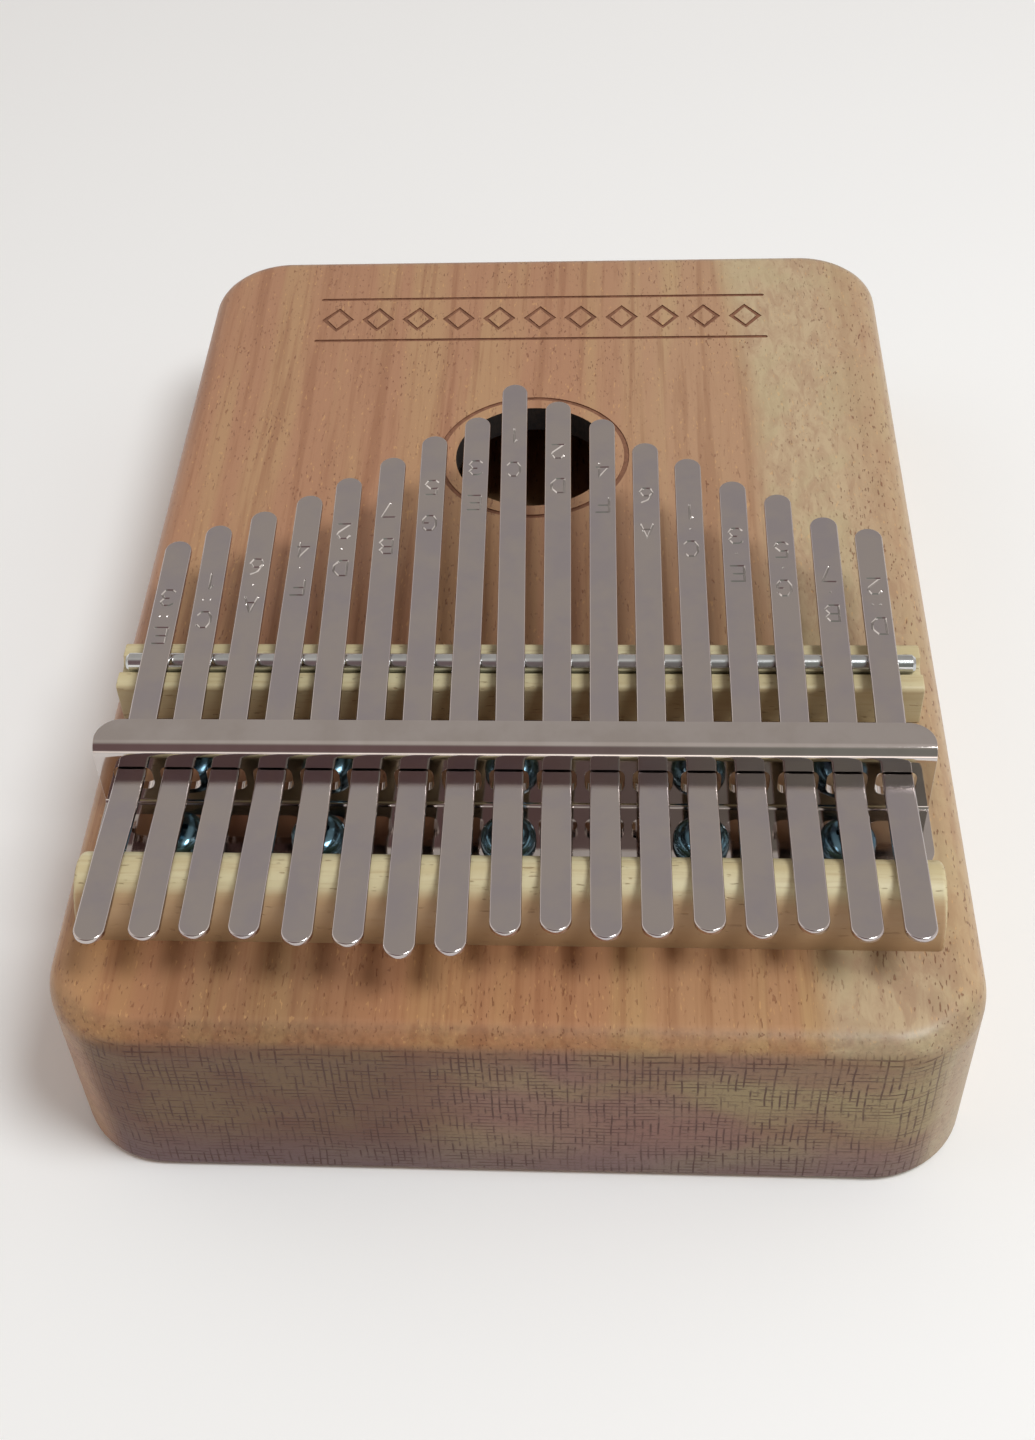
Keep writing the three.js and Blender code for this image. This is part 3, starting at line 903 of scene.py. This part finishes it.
def screw(number):
    """A pan-head screw with a cross recess and a threaded shank."""
    low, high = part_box(f"screw_{number}")
    centre = ((low.x + high.x) / 2, (low.y + high.y) / 2)
    under = plate_low.z + PLATE_THICKNESS
    profile = shank_profile(low.z, under) + head_profile((high.x - low.x) / 2, under, high.z)
    turned = lathe(f"screw_{number}_zinc", profile, 40, centre)
    for tool in cross_recess(centre, high.z):
        cut(turned, tool)
    paint(turned, zinc)
    weld(turned)
    smooth(turned, 35)
    place_piece(turned, ROOT, [f"screw_{number}"])


# ------------------------------------------------------------------ keys

KEY_HALF_WIDTH = 2.2 * MM
KEY_THICKNESS = 1 * MM
KEY_EDGE = 0.28 * MM
EDGE_STEPS = 4
END_STEPS = 12
STATION_STEP = 1.0 * MM
FREE_SLOPE = 0.058
LONGEST_KEY = 9
TIP_BEND_LENGTH = 6.5 * MM
TIP_BEND_SLOPE = 0.07

key_over_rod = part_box("saddle_rod")[1].z + gap
key_under_slot = deck_z + SLOT_TOP - gap - KEY_THICKNESS
key_over_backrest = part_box("backrest")[1].z + gap
backrest_middle_y = (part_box("backrest")[0].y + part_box("backrest")[1].y) / 2


class Key:
    """One steel strip: its place, direction and the side view that it follows."""

    def __init__(self, number):
        self.number = number
        self.name = f"key_{number:02d}"
        joint = pluck_joints[self.name]
        self.rod = Vector(joint["pos_m"])
        self.side = Vector(joint["axis"])
        self.along = Vector((-self.side.y, self.side.x, 0))
        tail_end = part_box(f"{self.name}_tail")[0].y
        tip_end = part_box(f"{self.name}_tongue")[1].y
        self.radius = KEY_HALF_WIDTH
        lean = self.along.y
        self.tip = (tip_end - self.rod.y - self.radius) / lean + self.radius
        self.tail = (tail_end - self.rod.y + self.radius) / lean - self.radius

    def underside(self, distance):
        """Height of the underside at a distance from the rod."""
        slot = slot_y - self.rod.y
        rest = backrest_middle_y - self.rod.y
        if distance >= 0:
            bend = 0
            if self.number == LONGEST_KEY:
                bend = TIP_BEND_SLOPE * max(0, distance - self.tip + TIP_BEND_LENGTH)
            return key_over_rod + FREE_SLOPE * distance + bend
        if distance >= slot:
            wave = (1 - math.cos(math.pi * distance / slot)) / 2
            return key_over_rod + (key_under_slot - key_over_rod) * wave
        share = (distance - slot) / (rest - slot)
        rise = key_over_backrest - key_under_slot
        if share <= 1:
            return key_under_slot + rise * share * share * (2 - share)
        return key_over_backrest + rise * (share - 1) / 2

    def point(self, across, distance, above_underside):
        place = self.rod + self.side * across + self.along * distance
        return (place.x, place.y, self.underside(distance) + above_underside)

    def outline(self, inset):
        """The inset plan as (across, distance) points: up the right side and back down the left."""
        radius = self.radius - inset
        low = self.tail + self.radius
        high = self.tip - self.radius
        turns = [QUARTER * step / END_STEPS for step in range(END_STEPS + 1)]
        count = max(2, round((high - low) / STATION_STEP))
        side = [(radius * math.sin(turn), low - radius * math.cos(turn)) for turn in turns]
        side += [(radius, low + (high - low) * step / count) for step in range(1, count)]
        side += [(radius * math.sin(turn), high + radius * math.cos(turn)) for turn in reversed(turns)]
        return side + [(-across, distance) for across, distance in side[-2:0:-1]]

    def strip(self):
        """The bare strip: rings up its rounded edge, closed below and above by rungs across it."""
        turns = [QUARTER * step / EDGE_STEPS for step in range(EDGE_STEPS + 1)]
        edge = [(KEY_EDGE * (1 - math.sin(turn)), KEY_EDGE * (1 - math.cos(turn))) for turn in turns]
        edge += [(inset, KEY_THICKNESS - above) for inset, above in reversed(edge)]
        count = len(self.outline(0))
        points = []
        for inset, above in edge:
            points += [self.point(across, distance, above) for across, distance in self.outline(inset)]
        faces = []
        top = len(points) - count
        for start in range(0, top, count):
            for i in range(count):
                j = (i + 1) % count
                faces.append([start + i, start + j, start + count + j, start + count + i])
        for i in range(count // 2):
            # at both ends a rung is a single point, and its face a triangle
            rungs = list(dict.fromkeys([i, i + 1, count - i - 1, (count - i) % count]))
            faces.append(rungs[::-1])
            faces.append([top + corner for corner in rungs])
        return make_object(f"{self.name}_strip", points, faces)


# Strokes of the note marks, in a box one wide and one high
GLYPHS = {
    "1": [[(0.25, 0.8), (0.5, 1), (0.5, 0)]],
    "2": [[(0, 0.78), (0.22, 1), (0.78, 1), (1, 0.75), (0.9, 0.55), (0, 0), (1, 0)]],
    "3": [[(0, 0.88), (0.25, 1), (0.75, 1), (1, 0.77), (0.75, 0.54), (0.4, 0.54)],
          [(0.75, 0.54), (1, 0.28), (0.75, 0), (0.25, 0), (0, 0.14)]],
    "4": [[(0.75, 0), (0.75, 1), (0, 0.3), (1, 0.3)]],
    "5": [[(0.95, 1), (0.12, 1), (0.06, 0.56), (0.6, 0.6), (1, 0.32), (0.78, 0.02), (0.25, 0), (0, 0.14)]],
    "6": [[(0.85, 1), (0.3, 0.8), (0, 0.35), (0.2, 0.02), (0.75, 0), (1, 0.28), (0.75, 0.55),
           (0.25, 0.55), (0, 0.35)]],
    "7": [[(0, 1), (1, 1), (0.4, 0)]],
    "A": [[(0, 0), (0.5, 1), (1, 0)], [(0.2, 0.38), (0.8, 0.38)]],
    "B": [[(0, 0), (0, 1), (0.7, 1), (0.95, 0.77), (0.7, 0.54), (0, 0.54)],
          [(0.7, 0.54), (1, 0.27), (0.7, 0), (0, 0)]],
    "C": [[(1, 0.8), (0.75, 1), (0.25, 1), (0, 0.7), (0, 0.3), (0.25, 0), (0.75, 0), (1, 0.2)]],
    "D": [[(0, 0), (0, 1), (0.6, 1), (1, 0.7), (1, 0.3), (0.6, 0), (0, 0)]],
    "E": [[(1, 1), (0, 1), (0, 0), (1, 0)], [(0, 0.52), (0.8, 0.52)]],
    "F": [[(1, 1), (0, 1), (0, 0)], [(0, 0.52), (0.8, 0.52)]],
    "G": [[(1, 0.8), (0.75, 1), (0.25, 1), (0, 0.7), (0, 0.3), (0.25, 0), (0.75, 0), (1, 0.25),
           (1, 0.5), (0.6, 0.5)]],
}

# The scale, from the left key to the right one: degree, octave dots, note
NOTE_MARKS = [
    ("3", 2, "E"), ("1", 2, "C"), ("6", 1, "A"), ("4", 1, "F"), ("2", 1, "D"), ("7", 0, "B"),
    ("5", 0, "G"), ("3", 0, "E"), ("1", 0, "C"), ("2", 0, "D"), ("4", 0, "F"), ("6", 0, "A"),
    ("1", 1, "C"), ("3", 1, "E"), ("5", 1, "G"), ("7", 1, "B"), ("2", 2, "D"),
]
GLYPH_WIDTH = 2.1 * MM
GLYPH_HEIGHT = 3.4 * MM
DEGREE_FROM_TIP = 13 * MM
DOTS_FROM_TIP = 17 * MM
NOTE_FROM_TIP = 21.5 * MM
NOTE_FROM_ROD = 3 * MM      # at least, on the short keys
DOT_PITCH = 1.2 * MM
DOT_HALF = 0.06 * MM
GROOVE_DEPTH = 0.16 * MM
GROOVE_HALF = 0.17 * MM
GROOVE_FLOOR_HALF = 0.03 * MM


def groove(key, start, end):
    """A V-shaped stroke between two (across, distance) points on a key's upper face."""
    heading = math.atan2(end[1] - start[1], end[0] - start[0])
    rings = []
    for level, half in ((-GROOVE_DEPTH, GROOVE_FLOOR_HALF), (GROOVE_DEPTH, 2 * GROOVE_HALF)):
        outline = arc(start[0], start[1], half, heading + QUARTER, heading + 3 * QUARTER, 3)
        outline += arc(end[0], end[1], half, heading - QUARTER, heading + QUARTER, 3)
        rings.append([key.point(across, distance, KEY_THICKNESS + level) for across, distance in outline])
    return loft("groove", rings)


def glyph_grooves(key, glyph, from_tip):
    """The mark reads upright for a player at the tips, so up is toward the rod."""
    made = []
    for stroke in GLYPHS[glyph]:
        places = [((0.5 - x) * GLYPH_WIDTH, key.tip - from_tip - (y - 0.5) * GLYPH_HEIGHT) for x, y in stroke]
        made += [groove(key, a, b) for a, b in zip(places, places[1:])]
    return made


def dot_grooves(key, count):
    made = []
    for step in range(count):
        across = (step - (count - 1) / 2) * DOT_PITCH
        distance = key.tip - DOTS_FROM_TIP
        made.append(groove(key, (across, distance - DOT_HALF), (across, distance + DOT_HALF)))
    return made


def stamp(key, strip):
    degree, dots, note = NOTE_MARKS[key.number - 1]
    tools = glyph_grooves(key, degree, DEGREE_FROM_TIP)
    tools += glyph_grooves(key, note, min(NOTE_FROM_TIP, key.tip - NOTE_FROM_ROD))
    tools += dot_grooves(key, dots)
    for tool in tools:
        paint(tool, stamped)
    cut(strip, join("stamp", tools), True)


def steel_key(number):
    key = Key(number)
    strip = key.strip()
    paint(strip, nickel)
    stamp(key, strip)
    smooth(strip, 30)
    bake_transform(strip)
    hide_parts(f"{key.name}_tail", f"{key.name}_tongue")


# ------------------------------------------------------------------ camera, lights and floor

CAMERA_PLACE = (13.42 * MM, -235.34 * MM, 244.74 * MM)
CAMERA_TURN = (43.584, 2.94, 3.167)
CAMERA_LENS = 46.5
CAMERA_SHIFT = (0.0356, -0.0043)
FLOOR_HALF = 9
LIGHT_PLACE = (0.42, -0.22, 0.95)
LIGHT_SIZE = 0.4
LIGHT_POWER = 6.2
LIGHT_COLOUR = (0.98, 1, 1)


def make_camera():
    data = bpy.data.cameras.new("camera")
    data.lens = CAMERA_LENS
    data.sensor_width = 36
    data.shift_x, data.shift_y = CAMERA_SHIFT
    data.clip_start = 0.01
    data.clip_end = 20
    camera = bpy.data.objects.new("camera", data)
    camera.location = CAMERA_PLACE
    camera.rotation_euler = Euler([math.radians(a) for a in CAMERA_TURN], "XYZ")
    bpy.context.scene.collection.objects.link(camera)
    bpy.context.scene.camera = camera


def make_light():
    """One round soft light, high on the right and a little in front."""
    data = bpy.data.lights.new("main_light", "AREA")
    data.shape = "DISK"
    data.size = LIGHT_SIZE
    data.energy = LIGHT_POWER
    data.color = LIGHT_COLOUR
    light = bpy.data.objects.new("main_light", data)
    light.location = LIGHT_PLACE
    aim = Vector((0, 0, deck_z)) - Vector(LIGHT_PLACE)
    light.rotation_euler = aim.to_track_quat("-Z", "Y").to_euler()
    bpy.context.scene.collection.objects.link(light)


def make_stage():
    corners = [(-FLOOR_HALF, -FLOOR_HALF, 0), (FLOOR_HALF, -FLOOR_HALF, 0),
               (FLOOR_HALF, FLOOR_HALF, 0), (-FLOOR_HALF, FLOOR_HALF, 0)]
    floor = make_object("floor", corners, [[0, 1, 2, 3]])
    s = Surface("floor_paper", 0.9)
    s.set("Base Color", s.mix(s.grain((0.01, 0.01, 0.01)), (0.925, 0.94, 0.95, 1), (0.935, 0.95, 0.96, 1)))
    paint(floor, s.material)
    floor.location.z = -gap


def make_world():
    """Soft surroundings: pale walls left and right, a dim one behind the viewer, lit low down."""
    world = bpy.data.worlds.new("studio")
    world.use_nodes = True
    s = Nodes(world.node_tree)
    direction = s.place.outputs["Generated"]
    x = s.part(direction, 0)
    y = s.part(direction, 1)
    z = s.part(direction, 2)

    def wall(level):
        return (level, 0.93 * level, 0.87 * level, 1)

    light = s.mix(s.ease(x, -0.4, -0.8), wall(0.44), wall(1.0))
    light = s.mix(s.ease(x, 0.4, 0.8), light, wall(0.9))
    light = s.mix(s.ease(z, 0.93, 0.99), light, wall(0.55))
    # toward the horizon it is as bright as the floor there
    light = s.mix(s.ease(z, 0.3, 0.03), light, wall(0.5))
    behind_viewer = s.times(s.ease(y, -0.15, -0.5), s.ease(z, 0.12, 0.3))
    dim = s.mix(s.ease(x, -0.06, 0.12), (0.18, 0.12, 0.12, 1), (0.24, 0.24, 0.215, 1))
    light = s.mix(behind_viewer, light, dim)
    low_behind = s.times(s.ease(y, -0.4, -0.8), s.ease(z, 0.16, 0.06))
    low_behind = s.times(low_behind, s.ease(x, -0.25, 0.1, 0.55, 1))
    light = s.mix(low_behind, light, wall(2.2))
    s.plug(s.tree.nodes["Background"].inputs["Color"], light)
    bpy.context.scene.world = world


wood_block()
back_panel()
bridge()
saddle_rod()
backrest()
pressure_plate()
for number in range(1, SCREW_COUNT + 1):
    screw(number)
for number in range(1, KEY_COUNT + 1):
    steel_key(number)
make_camera()
make_stage()
make_world()
make_light()
bpy.context.scene.view_settings.view_transform = "Standard"
